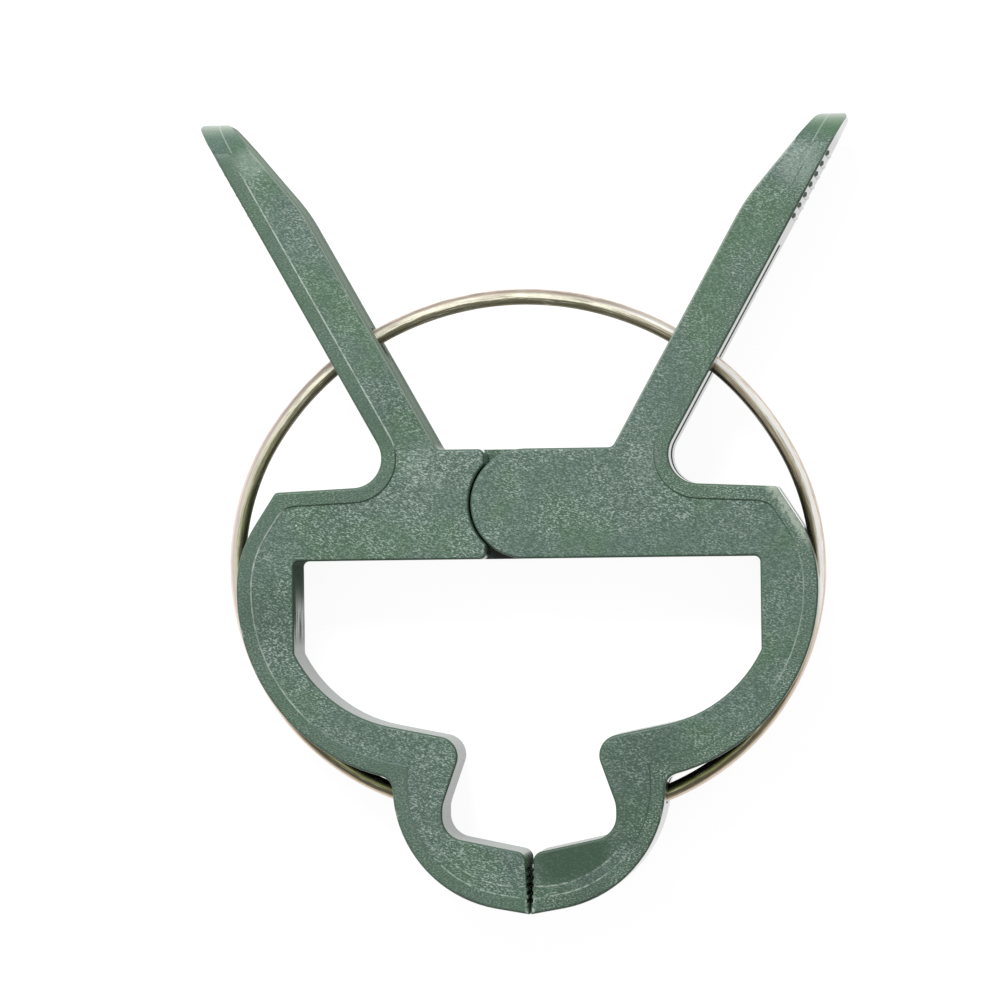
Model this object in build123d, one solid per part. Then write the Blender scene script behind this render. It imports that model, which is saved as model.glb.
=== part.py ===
from build123d import *
import os
from math import atan2, cos, degrees, pi, radians, sin, sqrt, tan

# Orchid clip: two identical moulded jaws on a half-lap knuckle, closed by an open ring of spring wire.
# Millimetres. The clip lies flat: X across, +Y towards the finger handles, Z through the thickness.
# The right jaw is drawn round the hinge axis, and the left one is the same moulding turned over.

# Moulding
thickness = 6.0
face_round = 0.2

# Knuckle and bar
bar_half = 3.75
seat_clearance = 0.12
lap_clearance = 0.2
lip_reach = 2.75
lip_foot_reach = 2.7
lip_round = 0.45

# Handle
handle_base = 5.98
handle_lean = 29.0
handle_width = 3.36
handle_bend_y = 20.3
handle_top_lean = 40.0
handle_tip_y = 26.3
handle_bend_round = 12.0
handle_tip_round = 0.3
handle_inner_tip_round = 0.9
handle_end_round = 2.8
handle_root_round = 0.5

# Shoulder and arm
shoulder_y = 1.36
shoulder_x = 17.1
shoulder_fall = 0.4
shoulder_round = 2.0
corner_round = 0.3
arm_x = 6.8
arm_y = -5.8
arm_radius = 13.05
arm_start_y = -2.7
arm_start_round = 8.0

# Stem opening
opening_x = 15.93
opening_wall_end = -10.07
opening_round = 0.4
opening_foot_x = 9.45
opening_foot_y = -15.07
opening_foot_slope = 11.5

# Gripping tip and the small pocket above it
tip_x = 0.81
tip_y = -19.14
tip_radius = 8.5
tip_foot_slope = 10.0
foot_gap = 0.15
grip_gap = 0.55
neck_round = 1.0
bump_x = 4.36
bump_round = 1.4
pocket_x = 5.92
pocket_bend_y = -20.5
pocket_bend_round = 2.0
pocket_floor_y = -22.55
pocket_round = 1.6
pocket_floor_slope = 11.9
tip_corner_round = 0.7

# Grooves between the ribs of the gripping faces
rib_grooves = 5
rib_pitch = 0.52
rib_groove_width = 0.3
rib_depth = 0.1
rib_first_y = -24.9

# Finger ridges on the outer side of the handles
ridge_count = 7
ridge_pitch = 0.8
ridge_radius = 0.24
ridge_proud = 0.14
ridge_length = 3.2
ridge_first_y = 23.5

# Wire ring, and the channel and handle windows that it runs in
wire_diameter = 1.1
wire_clearance = 0.22
ring_y = -6.28
ring_radius = 20.57
ring_turn_angle = 30.0
ring_side_radius = 16.49
ring_end_angle = 75.7
ring_end_clearance = 0.2
ring_sit_x = -0.3
ring_sit_angle = -2.86
ring_sit_end_angle = 3.7
window_slack = 1.4
window_from_angle = 42.0
window_to_angle = 70.0

# Raised rim along the outer edge, with a sloped step, and the wire's groove in its side
rim_width = 1.05
rim_step = 0.1
rim_slope = 0.09
rim_corner_round = 2.5
groove_top_y = 17.4

half = thickness / 2
lean = radians(handle_lean)
channel_width = wire_diameter + 2 * wire_clearance
foot_slope = radians(tip_foot_slope)


def handle_outer(y):
    """Point of the handle's outer edge at a height above the hinge."""
    return (handle_base + handle_width / cos(lean) + (y - bar_half) * tan(lean), y)


def arc_round(centre, start, end):
    """The shorter arc round a centre from one point to another."""
    angles = [atan2(y - centre[1], x - centre[0]) for x, y in (start, end)]
    middle = sum(angles) / 2
    radius = sqrt((start[0] - centre[0]) ** 2 + (start[1] - centre[1]) ** 2)
    return ThreePointArc(start, (centre[0] + radius * cos(middle), centre[1] + radius * sin(middle)), end)


def neck_corner():
    """Outer corner in which the arm's round meets the gripping tip's round."""
    across, along = arm_x - tip_x, arm_y - tip_y
    apart = sqrt(across**2 + along**2)
    reach = (tip_radius**2 - arm_radius**2 + apart**2) / (2 * apart)
    rise = sqrt(tip_radius**2 - reach**2)
    return (tip_x + (reach * across + rise * along) / apart, tip_y + (reach * along - rise * across) / apart)


def joined(*runs):
    """One path from runs of lines and arcs that follow each other."""
    return Wire([edge for run in runs for edge in run.edges()])


def rounded(path, corners):
    """A path with each of the given corners rounded to its radius."""
    for (x, y), radius in corners:
        path = path.fillet_2d(radius, [path.vertices().sort_by_distance((x, y, 0))[0]])
    return path


root = handle_outer(shoulder_y)
corner = (shoulder_x, shoulder_y - shoulder_fall)
arm_centre = (arm_x, arm_y)
arm_start = (arm_x + sqrt(arm_radius**2 - (arm_start_y - arm_y) ** 2), arm_start_y)
neck = neck_corner()
tip_turn = (tip_x + tip_radius * sin(foot_slope), tip_y - tip_radius * cos(foot_slope))
tip_foot = (foot_gap / 2, tip_turn[1] - (tip_turn[0] - foot_gap / 2) * tan(foot_slope))
grip_top = (grip_gap / 2, pocket_floor_y - (pocket_x - grip_gap / 2) * tan(radians(pocket_floor_slope)))
hinge_y = -(handle_tip_y + tip_foot[1]) / 2


def outer_path():
    """Outer edge from the handle's tip over shoulder and arm to the foot of the gripping tip."""
    path = joined(
        Polyline(handle_outer(handle_tip_y), root, corner, arm_start),
        arc_round(arm_centre, arm_start, neck),
        arc_round((tip_x, tip_y), neck, tip_turn),
        Line(tip_turn, tip_foot),
    )
    return rounded(path, [(root, shoulder_round), (arm_start, arm_start_round)])


def inner_path():
    """Inner edge from the foot of the gripping tip round the opening, the knuckle and up the handle."""
    pocket = (pocket_x, pocket_floor_y)
    bend = (pocket_x, pocket_bend_y)
    slope = radians(opening_foot_slope)
    bump = (bump_x, opening_foot_y - (opening_foot_x - bump_x) * tan(slope))
    foot = (opening_foot_x, opening_foot_y)
    wall_end = (opening_x, opening_wall_end)
    wall_top = (opening_x, -bar_half)
    handle_root = (handle_base, bar_half)
    handle_bend = (handle_base + (handle_bend_y - bar_half) * tan(lean), handle_bend_y)
    top_run = (handle_tip_y - handle_bend_y) * tan(radians(handle_top_lean))
    path = joined(
        Polyline(tip_foot, grip_top, pocket, bend, bump, foot),
        TangentArc(foot, wall_end, tangent=(cos(slope), sin(slope))),
        Polyline(wall_end, wall_top, (0, -bar_half)),
        ThreePointArc((0, -bar_half), (-bar_half, 0), (0, bar_half)),
        Polyline((0, bar_half), handle_root, handle_bend, (handle_bend[0] + top_run, handle_tip_y)),
    )
    return rounded(path, [
        (grip_top, tip_corner_round),
        (pocket, pocket_round),
        (bend, pocket_bend_round),
        (bump, bump_round),
        (wall_end, opening_round),
        (wall_top, opening_round),
        (handle_root, handle_root_round),
        (handle_bend, handle_bend_round),
    ])


def jaw_profile():
    """Outline of a whole jaw with its knuckle."""
    outer = rounded(outer_path(), [(corner, corner_round), (neck, neck_round)])
    inner = inner_path()
    profile = make_face([*outer.edges(), Line(inner @ 1, outer @ 0), *inner.edges()])
    inner_corner, outer_corner = profile.vertices().sort_by(Axis.Y)[-2:].sort_by(Axis.X)
    profile = fillet(inner_corner, handle_inner_tip_round)
    outer_corner = profile.vertices().sort_by_distance(outer_corner)[0]
    return fillet(outer_corner, handle_tip_round)


def seat_profile(profile):
    """The jaw's outline with the knuckle cut away to the seat that takes the other jaw's knuckle."""
    lips = ((lip_reach, bar_half), (lip_foot_reach, -bar_half))
    room = Circle(bar_half + seat_clearance)
    for reach, side in lips:
        room = room + Pos(reach - 2 * bar_half, side) * Rectangle(4 * bar_half, 2 * bar_half)
    seat = profile - room
    corners = [seat.vertices().sort_by_distance((x, y, 0))[0] for x, y in lips]
    return fillet(corners, lip_round)


def slab(sketch, low, high):
    """A flat outline made solid between two heights."""
    return extrude(Plane.XY.offset(low) * sketch, high - low)


def rim_band():
    """Strip along the jaw's outer edge, from the handle's tip to the foot of the gripping tip."""
    return trace(rounded(outer_path(), [(corner, rim_corner_round)]), 2 * rim_width)


def wire_groove():
    """Room for the wire in the side of the rim, from below the finger ridges to the neck."""
    strip = trace(outer_path(), 2 * rim_width)
    for end in (groove_top_y + 2 * ring_radius, neck[1] - 2 * ring_radius):
        strip = strip - Pos(0, end) * Rectangle(4 * ring_radius, 4 * ring_radius)
    return slab(strip, -channel_width / 2, channel_width / 2)


def handle_end_cut():
    """What the rounded end takes off the upper side of the handle's tip."""
    end = Pos(0, handle_tip_y, half) * Box(4 * ring_radius, 2 * handle_end_round, 2 * handle_end_round)
    curve = Cylinder(handle_end_round, 4 * ring_radius, rotation=(0, 90, 0))
    return end - Pos(0, handle_tip_y - handle_end_round, half - handle_end_round) * curve


def face_slab(profile, low, high):
    """A jaw's outline made solid, with a rounded handle end and rounded edges on its upper face."""
    solid = slab(profile, low, high) - handle_end_cut()
    face = solid.faces().sort_by(Axis.Z)[-1]
    below_end = handle_tip_y - handle_end_round - face_round
    return fillet([edge for edge in face.edges() if (edge @ 0.5).Y < below_end], face_round)


def half_jaw(profile, low):
    """Half of a jaw from a height up to its face, which is raised along the rim."""
    edge = outer_path()
    rim = face_slab(profile, low, half) & slab(rim_band(), low, thickness)
    inner_edges = []
    for side in rim.faces().sort_by(Axis.Z)[-1].edges():
        middle = side @ 0.5
        if edge.distance_to(Vertex(middle.X, middle.Y, 0)) > rim_width - rim_slope:
            inner_edges.append(side)
    return face_slab(profile, low, half - rim_step) + chamfer(inner_edges, rim_slope)


def ring_path(right_end, left_end):
    """Centre line of the ring: a wide arc over the top, drawn in by a tighter one on each side."""
    turn = radians(ring_turn_angle)
    inset = ring_radius - ring_side_radius
    side_x, side_y = inset * cos(turn), ring_y + inset * sin(turn)
    return joined(
        CenterArc((side_x, side_y), ring_side_radius, -right_end, ring_turn_angle + right_end),
        CenterArc((0, ring_y), ring_radius, ring_turn_angle, 180 - 2 * ring_turn_angle),
        CenterArc((-side_x, side_y), ring_side_radius, 180 - ring_turn_angle, ring_turn_angle + left_end),
    )


def seated_ring_path():
    """Centre line of the ring as it sits, pulled a little to one side and round in the jaws' channels."""
    path = ring_path(ring_end_angle - ring_sit_end_angle, ring_end_angle + ring_sit_end_angle)
    return Pos(ring_sit_x, 0) * path.rotate(Axis((0, ring_y, 0), (0, 0, 1)), ring_sit_angle)


def wire_channel():
    """Room for the wire: its own run, and windows in the handles that let it swing towards the hinge."""
    spare = degrees(ring_end_clearance / ring_side_radius)
    run = trace(ring_path(ring_end_angle + spare, ring_end_angle + spare), channel_width)
    swing = CenterArc(
        (0, ring_y), ring_radius - window_slack / 2, window_from_angle, window_to_angle - window_from_angle
    )
    window = trace(swing, channel_width + window_slack)
    return [slab(room, -channel_width / 2, channel_width / 2) for room in (run, window)]


def finger_ridges():
    """Row of half-round ridges across the handle's outer side."""
    out = ridge_proud - ridge_radius
    ridge = Pos(out * cos(lean), -out * sin(lean)) * Cylinder(ridge_radius, ridge_length)
    rows = [ridge_first_y - index * ridge_pitch * cos(lean) for index in range(ridge_count)]
    return [Pos(*handle_outer(y)) * ridge for y in rows]


def gripping_grooves():
    """Fine grooves across the face that meets the other tip, which leave ribs between them."""
    slant = (grip_top[0] - tip_foot[0]) / (grip_top[1] - tip_foot[1])
    rows = [rib_first_y - index * rib_pitch for index in range(rib_grooves)]
    size = (2 * rib_depth, rib_groove_width, 2 * thickness)
    return [Pos(tip_foot[0] + (y - tip_foot[1]) * slant, y, 0) * Box(*size) for y in rows]


def jaw():
    """Right jaw: knuckle in its front half, seat for the other knuckle in its back half."""
    profile = jaw_profile()
    lap = lap_clearance / 2
    body = half_jaw(profile, lap) + mirror(half_jaw(seat_profile(profile), -lap), about=Plane.XY)
    for cut in [wire_groove(), *wire_channel(), *gripping_grooves()]:
        body = body - cut
    for ridge in finger_ridges():
        body = body + ridge
    return body


def spring_ring():
    """Open ring of round spring wire."""
    path = seated_ring_path()
    section = Plane(origin=path @ 0, z_dir=path % 0) * Circle(wire_diameter / 2)
    return sweep(section, path)


right_jaw = jaw()
left_jaw = right_jaw.rotate(Axis.Y, 180)
ring = spring_ring()
seat = Pos(0, hinge_y, half)
os.makedirs("parts", exist_ok=True)
for name, piece in (("right_jaw", right_jaw), ("left_jaw", left_jaw), ("spring_ring", ring)):
    placed = seat * piece
    print(name, "solids", len(placed.solids()), "volume", round(placed.volume, 2))
    export_step(placed, f"parts/{name}.step")
path = seated_ring_path()
print("ring end gap", round((path @ 0 - path @ 1).length, 2), "hinge at y", round(hinge_y, 3), "z", half)
print("wire volume against length", round(ring.volume, 3), round(path.length * pi * wire_diameter**2 / 4, 3))
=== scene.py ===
"""Orchid clip: two moulded jaws on a half-lap knuckle, closed by an open ring of plated spring wire."""

import logging
import math
from dataclasses import dataclass
from enum import Enum
from functools import reduce

import bpy
from mathutils import Matrix, Vector


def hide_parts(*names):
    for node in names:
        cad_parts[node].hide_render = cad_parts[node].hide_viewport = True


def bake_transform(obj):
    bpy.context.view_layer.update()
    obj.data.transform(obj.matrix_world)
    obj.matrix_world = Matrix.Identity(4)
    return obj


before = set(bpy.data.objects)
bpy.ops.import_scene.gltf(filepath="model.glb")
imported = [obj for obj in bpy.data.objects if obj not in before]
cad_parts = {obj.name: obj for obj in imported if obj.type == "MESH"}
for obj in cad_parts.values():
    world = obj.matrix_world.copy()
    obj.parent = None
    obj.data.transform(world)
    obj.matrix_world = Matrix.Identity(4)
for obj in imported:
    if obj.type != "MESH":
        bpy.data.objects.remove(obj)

Colour = tuple[float, float, float]
Point = tuple[float, float, float]
Span = tuple[float, float]
Spots = tuple[tuple[float, float, float], ...]
Stops = tuple[tuple[float, Colour], ...]
Socket = bpy.types.NodeSocket
Outputs = bpy.types.bpy_prop_collection

MM = 0.001
HINGE_Y = 0.8
MID_Z = 3.0
HALF_TURN = 180.0
QUARTER_TURN = 90.0
SPOT_CORE = 0.25
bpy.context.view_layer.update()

log = logging.getLogger("orchid_clip")


class Side(Enum):
    """The two jaws, by the sign of X on which each one lies."""

    RIGHT = 1
    LEFT = -1

    @property
    def body(self) -> str:
        """Name of the jaw's CAD body and node."""
        return f"{self.name.lower()}_jaw"


class Ray(Enum):
    """Kinds of light path that see the studio as plain white."""

    CAMERA = "Is Camera Ray"
    GLOSSY = "Is Glossy Ray"
    TRANSMISSION = "Is Transmission Ray"


class Measure(Enum):
    """Numbers kept on the wire's vertices: how far out, over and along the wire each one lies."""

    ACROSS = "wire_across"
    OVER = "wire_over"
    ALONG = "wire_along"


@dataclass(frozen=True)
class Noise:
    """Soft noise: cells per millimetre, detail, the span that its marks are drawn from, roughness, twist."""

    scale: float
    detail: float
    marks: Span = (0.0, 1.0)
    rough: float = 0.5
    twist: float = 0.0

    @property
    def settings(self) -> dict[str, float]:
        """The noise node's inputs by name."""
        return {"Scale": self.scale, "Detail": self.detail, "Roughness": self.rough, "Distortion": self.twist}


def new_material(name: str) -> bpy.types.Material:
    """Starts a material that is drawn with nodes.

    Args:
        name: The material's name.

    Returns:
        The material.
    """
    made = bpy.data.materials.new(name)
    made.use_nodes = True
    return made


class NodeBench:
    """One node tree, with short calls that add nodes and join them."""

    def __init__(self, tree: bpy.types.NodeTree) -> None:
        """Empties the tree and keeps it."""
        self.tree = tree
        self.tree.nodes.clear()

    def add(self, kind: str, **settings: object) -> bpy.types.Node:
        """Adds a node.

        Args:
            kind: The node's type name without its ShaderNode prefix.
            **settings: Properties to set on it.

        Returns:
            The new node.
        """
        node = self.tree.nodes.new("ShaderNode" + kind)
        for name, value in settings.items():
            setattr(node, name, value)
        return node

    def feed(self, socket: Socket, value: object) -> None:
        """Joins a socket to an output, or sets it to a plain value.

        Args:
            socket: The input to fill.
            value: An output, a number, a vector or a colour.
        """
        if isinstance(value, Socket):
            self.tree.links.new(value, socket)
        elif isinstance(value, tuple) and socket.type == "RGBA":
            socket.default_value = (*value, 1.0)
        else:
            socket.default_value = value

    def filled(self, kind: str, *values: object, **settings: object) -> Outputs:
        """Adds a node and fills its first inputs in order.

        Args:
            kind: The node's type name, as for add.
            *values: What each input takes.
            **settings: Properties to set on the node.

        Returns:
            The node's outputs.
        """
        node = self.add(kind, **settings)
        for socket, value in zip(node.inputs, values):
            self.feed(socket, value)
        return node.outputs

    def texture(self, kind: str, place: Socket, **settings: float) -> Outputs:
        """Adds a texture node.

        Args:
            kind: The node's type name, as for add.
            place: Where the texture is read.
            **settings: Its other inputs by name.

        Returns:
            The node's outputs.
        """
        node = self.add(kind)
        for name, value in {"Vector": place, **settings}.items():
            self.feed(node.inputs[name], value)
        return node.outputs

    def maths(self, operation: str, *numbers: object) -> Socket:
        """Works out one number from up to three."""
        return self.filled("Math", *numbers, operation=operation)[0]

    def chain(self, operation: str, *numbers: object) -> Socket:
        """Works one operation through several numbers in turn."""
        return reduce(lambda first, second: self.maths(operation, first, second), numbers)

    def times(self, *numbers: object) -> Socket:
        """Product of several numbers."""
        return self.chain("MULTIPLY", *numbers)

    def most(self, *numbers: object) -> Socket:
        """The largest of several numbers."""
        return self.chain("MAXIMUM", *numbers)

    def rest(self, share: Socket) -> Socket:
        """What a share leaves of 1."""
        return self.maths("SUBTRACT", 1.0, share)

    def split(self, vector: Socket) -> tuple[Socket, ...]:
        """The three numbers of a vector."""
        return tuple(self.filled("SeparateXYZ", vector))

    def join(self, *numbers: object) -> Socket:
        """A vector from three numbers."""
        return self.filled("CombineXYZ", *numbers)[0]

    def number_from(self, operation: str, first: Socket, second: object) -> Socket:
        """A number worked out from two vectors, such as their distance."""
        return self.filled("VectorMath", first, second, operation=operation)["Value"]

    def distance(self, vector: Socket, point: Point) -> Socket:
        """Distance from a fixed point."""
        return self.number_from("DISTANCE", vector, point)

    def ease(self, value: object, low: float, high: float) -> Socket:
        """Goes smoothly from 0 at low to 1 at high, where low may be the larger."""
        span = (min(low, high), max(low, high), float(low > high), float(low <= high))
        return self.filled("MapRange", value, *span, interpolation_type="SMOOTHSTEP")[0]

    def band(self, value: Socket, middle: float, reach: float) -> Socket:
        """1 where a value is at the middle, and 0 from the given reach away."""
        return self.ease(self.maths("ABSOLUTE", self.maths("SUBTRACT", value, middle)), reach, 0.0)

    def blend(self, share: Socket, low: float, high: float) -> Socket:
        """A number between two, by share."""
        return self.maths("MULTIPLY_ADD", share, high - low, low)

    def between(self, share: Socket, low: object, high: object) -> Socket:
        """A number between two that may be outputs, by share."""
        return self.maths("MULTIPLY_ADD", share, self.maths("SUBTRACT", high, low), low)

    def near(self, vector: Socket, spots: Spots) -> Socket:
        """How near a place is to the nearest of some spots: 1 at its core and 0 from its reach away."""
        eased = (self.ease(self.distance(vector, (x, y, 0.0)), out, SPOT_CORE * out) for x, y, out in spots)
        return self.most(*eased)

    def noise(self, place: Socket, kind: Noise) -> Socket:
        """Soft noise about 0.5."""
        return self.texture("TexNoise", place, **kind.settings)["Fac"]

    def marks(self, place: Socket, kind: Noise) -> Socket:
        """Soft marks: 0 and 1 at the two ends of a noise's span."""
        return self.ease(self.noise(place, kind), *kind.marks)

    def specks(self, place: Socket, scale: float, reach: float) -> Socket:
        """Small scattered spots: 1 within a third of the given reach, and 0 from the reach away."""
        return self.ease(self.texture("TexVoronoi", place, Scale=scale)["Distance"], reach, reach / 3)

    def mix(self, share: object, first: object, second: object) -> Socket:
        """Mixes two colours.

        Args:
            share: How much of the second one shows.
            first: One colour.
            second: The other one.

        Returns:
            The mixed colour.
        """
        node = self.add("Mix", data_type="RGBA")
        self.feed(node.inputs["Factor"], share)
        self.feed(node.inputs[6], first)
        self.feed(node.inputs[7], second)
        return node.outputs[2]

    def ramp(self, value: Socket, stops: Stops) -> Socket:
        """Reads a colour from a row of stops.

        Args:
            value: The place in the row, from 0 to 1.
            stops: The place and colour of each stop.

        Returns:
            The colour.
        """
        node = self.add("ValToRGB")
        elements = node.color_ramp.elements
        for index, (place, colour) in enumerate(stops):
            element = elements[index] if index < 2 else elements.new(place)
            element.position = place
            element.color = (*colour, 1.0)
        self.feed(node.inputs[0], value)
        return node.outputs[0]

    def attribute(self, measure: Measure) -> Socket:
        """A number kept on the piece's own vertices."""
        return self.add("Attribute", attribute_name=measure.value).outputs["Fac"]

    def seen_by(self, *rays: Ray) -> Socket:
        """1 on the given kinds of light path, and 0 on the rest."""
        path = self.add("LightPath")
        return self.most(*(path.outputs[ray.value] for ray in rays))

    def finish(self, shader: Socket) -> None:
        """Joins a shader to the material's output."""
        self.feed(self.add("OutputMaterial").inputs["Surface"], shader)


class JawBench(NodeBench):
    """Bench of the jaws' material, which also measures a jaw's surface in millimetres.

    Spans of Y, of level and of tilt go from where a measure is 0 to where it is 1.
    """

    MIDDLE: Point = (0.0, -6.0, 0.0)
    SIDES: Span = (-0.1, 0.1)
    FRONT: Span = (MID_Z, MID_Z + 0.5)
    END_Y: Span = (23.2, 24.2)
    END_TILT: Span = (0.04, 0.25)
    BEYOND_Y: Span = (23.8, 24.2)
    BEYOND_TURN: Span = (0.1, 0.3)
    DEEP_LEVEL: Span = (2.3, 1.9)
    DEEP_ASIDE: Span = (4.5, 5.0)
    FACE_TILT: Span = (0.80, 0.97)
    WALL_TILT: Span = (0.50, 0.15)
    LEE_ALONG: float = -0.66
    LEE_ACROSS: float = 0.75
    LEE_TURN: Span = (-0.05, 0.25)
    HANDLE_Y: Span = (4.4, 5.2)
    INNER_TURN: Span = (-0.2, -0.5)
    HANDLE_WEIGHT: float = 100.0

    def __init__(self, tree: bpy.types.NodeTree) -> None:
        """Adds the nodes that measure the surface.

        Args:
            tree: The material's node tree.
        """
        super().__init__(tree)
        coords = self.add("TexCoord")
        normal = coords.outputs["Normal"]
        enlarged = self.add("VectorMath", operation="SCALE")
        self.feed(enlarged.inputs[0], coords.outputs["Object"])
        self.feed(enlarged.inputs["Scale"], 1.0 / MM)
        self.place = enlarged.outputs[0]
        self.x, self.y, self.z = self.split(self.place)
        across, along, facing = self.split(normal)
        self.aside = self.maths("ABSOLUTE", self.x)
        self.plan = self.join(self.x, self.y, 0.0)
        self.folded = self.join(self.aside, self.y, 0.0)
        self.right = self.ease(self.x, *self.SIDES)
        self.left = self.rest(self.right)
        self.level = self.maths("ABSOLUTE", self.maths("SUBTRACT", self.z, MID_Z))
        self.front = self.ease(self.z, *self.FRONT)
        turned = self.maths("MULTIPLY_ADD", self.z, -2.0, 2 * MID_Z)
        self.height = self.maths("MULTIPLY_ADD", self.right, turned, self.z)
        self.upright = self.maths("ABSOLUTE", facing)
        self.end = self.times(self.by_y(self.END_Y), self.by_tilt(self.END_TILT))
        beyond = self.times(self.by_y(self.BEYOND_Y), self.ease(along, *self.BEYOND_TURN))
        deep = self.times(self.by_level(self.DEEP_LEVEL), self.ease(self.aside, *self.DEEP_ASIDE))
        self.inside = self.times(deep, self.rest(beyond))
        face = self.most(self.by_tilt(self.FACE_TILT), self.end)
        self.flat = self.times(face, self.rest(self.inside))
        self.wall = self.most(self.by_tilt(self.WALL_TILT), self.inside)
        # Edges turned away from the lamp, on which the faces' colour paints shade.
        turned_away = self.maths("MULTIPLY_ADD", along, self.LEE_ALONG, self.times(across, self.LEE_ACROSS))
        self.turned_from_lamp = self.ease(turned_away, *self.LEE_TURN)
        self.handle = self.by_y(self.HANDLE_Y)
        spread = self.times(across, self.blend(self.right, -1.0, 1.0))
        self.inner_handle = self.times(self.ease(spread, *self.INNER_TURN), self.handle)
        from_middle = self.filled("VectorMath", self.plan, self.MIDDLE, operation="SUBTRACT")[0]
        away = self.number_from("DOT_PRODUCT", from_middle, normal)
        self.outward = self.maths("MULTIPLY_ADD", self.times(spread, self.handle), self.HANDLE_WEIGHT, away)

    def by_y(self, span: Span) -> Socket:
        """How far a point lies into a stretch of the jaw along Y."""
        return self.ease(self.y, *span)

    def by_level(self, span: Span) -> Socket:
        """How far a point lies into a span of distances from the middle of the thickness."""
        return self.ease(self.level, *span)

    def by_tilt(self, span: Span) -> Socket:
        """How far the surface lies into a span of tilts, where a wall has 0 and a face has 1."""
        return self.ease(self.upright, *span)


@dataclass(frozen=True)
class Reaches:
    """Stretches of a jaw along Y, in millimetres, from where a mark is missing to where it is full."""

    grip: Span = (-22.8, -23.5)
    upper_ribs: Span = (-24.9, -24.4)
    opening: Span = (-8.2, -6.2)
    streaks: Span = (-9.0, -7.4)
    neck_top: Span = (-14.0, -15.0)
    neck_foot: Span = (-23.0, -21.5)
    arms: Span = (0.0, -2.0)
    shoulder_foot: Span = (-3.2, -1.2)
    shoulder_top: Span = (3.0, 2.5)
    left_arm_top: Span = (0.8, 0.2)
    left_arm_foot: Span = (-14.6, -13.2)
    right_arm_top: Span = (-1.5, -2.6)
    right_arm_foot: Span = (-12.4, -11.0)
    lit_arm: Span = (-6.0, -3.0)
    tips: Span = (-22.2, -23.4)
    second_line: Span = (-22.0, -23.5)
    lips: Span = (-25.2, -25.8)
    below_end: Span = (24.0, 23.2)
    over_end: Span = (24.8, 25.1)
    smooth_end: Span = (23.0, 24.8)


@dataclass(frozen=True)
class Tilts:
    """How squarely a surface faces up, 0 on a wall and 1 on a face, where a mark is missing and full."""

    edge: Span = (0.985, 0.85)
    worn_edge: Span = (0.99, 0.85)
    ledge: Span = (0.3, 0.6)
    end_slope: Span = (0.85, 0.35)
    round_foot: Span = (0.35, 0.6)
    round_top: Span = (0.97, 0.85)
    step: Span = (0.95, 0.80)
    matt: Span = (0.3, 0.8)


@dataclass(frozen=True)
class Levels:
    """Distances from the middle of the thickness, then heights through it, in millimetres.

    A span goes from where a mark is missing to where it is full. A band has a middle and a reach.
    """

    rim: Span = (2.94, 2.98)
    step: Span = (2.895, 2.91)
    below_step: Span = (2.90, 2.88)
    edge: Span = (2.55, 2.72)
    nicks: Span = (2.2, 2.6)
    gap: Span = (2.95, 2.6)
    grip: Span = (3.0, 4.0)
    below_face: Span = (4.4, 5.0)
    rib_band: Span = (2.6, 0.9)
    face_band: Span = (5.0, 0.7)
    seam_band: Span = (1.7, 0.9)
    pale_band: Span = (4.1, 0.5)


@dataclass(frozen=True)
class Shares:
    """How strongly each mark shows: one number at its full, or two for its weakest and its strongest."""

    bump: Span = (0.05, 0.9)
    inner_grain: float = 0.7
    handle_grain: float = 0.75
    end_grain: float = 0.35
    polished_grain: float = 0.25
    ribs: float = 0.8
    shade: float = 0.55
    dim: float = 0.25
    haze_and_light: float = 0.35
    lit_handle_top: float = 0.4
    shade_above_crease: float = 0.2
    rim: float = 0.6
    edge: Span = (0.35, 0.95)
    face_band: float = 0.8
    seams: float = 0.6
    pit_shade: float = 0.75
    right_neck: float = 0.6
    left_neck: float = 0.25
    hazy_crests: float = 0.2
    crest_glints: Span = (0.44, 0.90)
    right_crests: float = 0.75
    rim_crests: Span = (0.55, 1.05)
    ledge: float = 0.9
    dull_and_shaded: float = 0.9
    shoulder: float = 0.8
    shoulder_wear: Span = (0.7, 1.0)
    nicks: float = 0.8
    ends: float = 0.6
    round_over: float = 0.5
    pale_band: float = 0.45
    tip_line: Span = (0.3, 0.4)
    handle_line: Span = (0.0, 0.6)
    lit_line: Span = (0.5, 1.0)
    right_line: float = 0.3
    worn_line: Span = (0.55, 1.0)
    end_line: float = 0.25
    second_line: float = 0.4
    lips: float = 0.5


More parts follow.
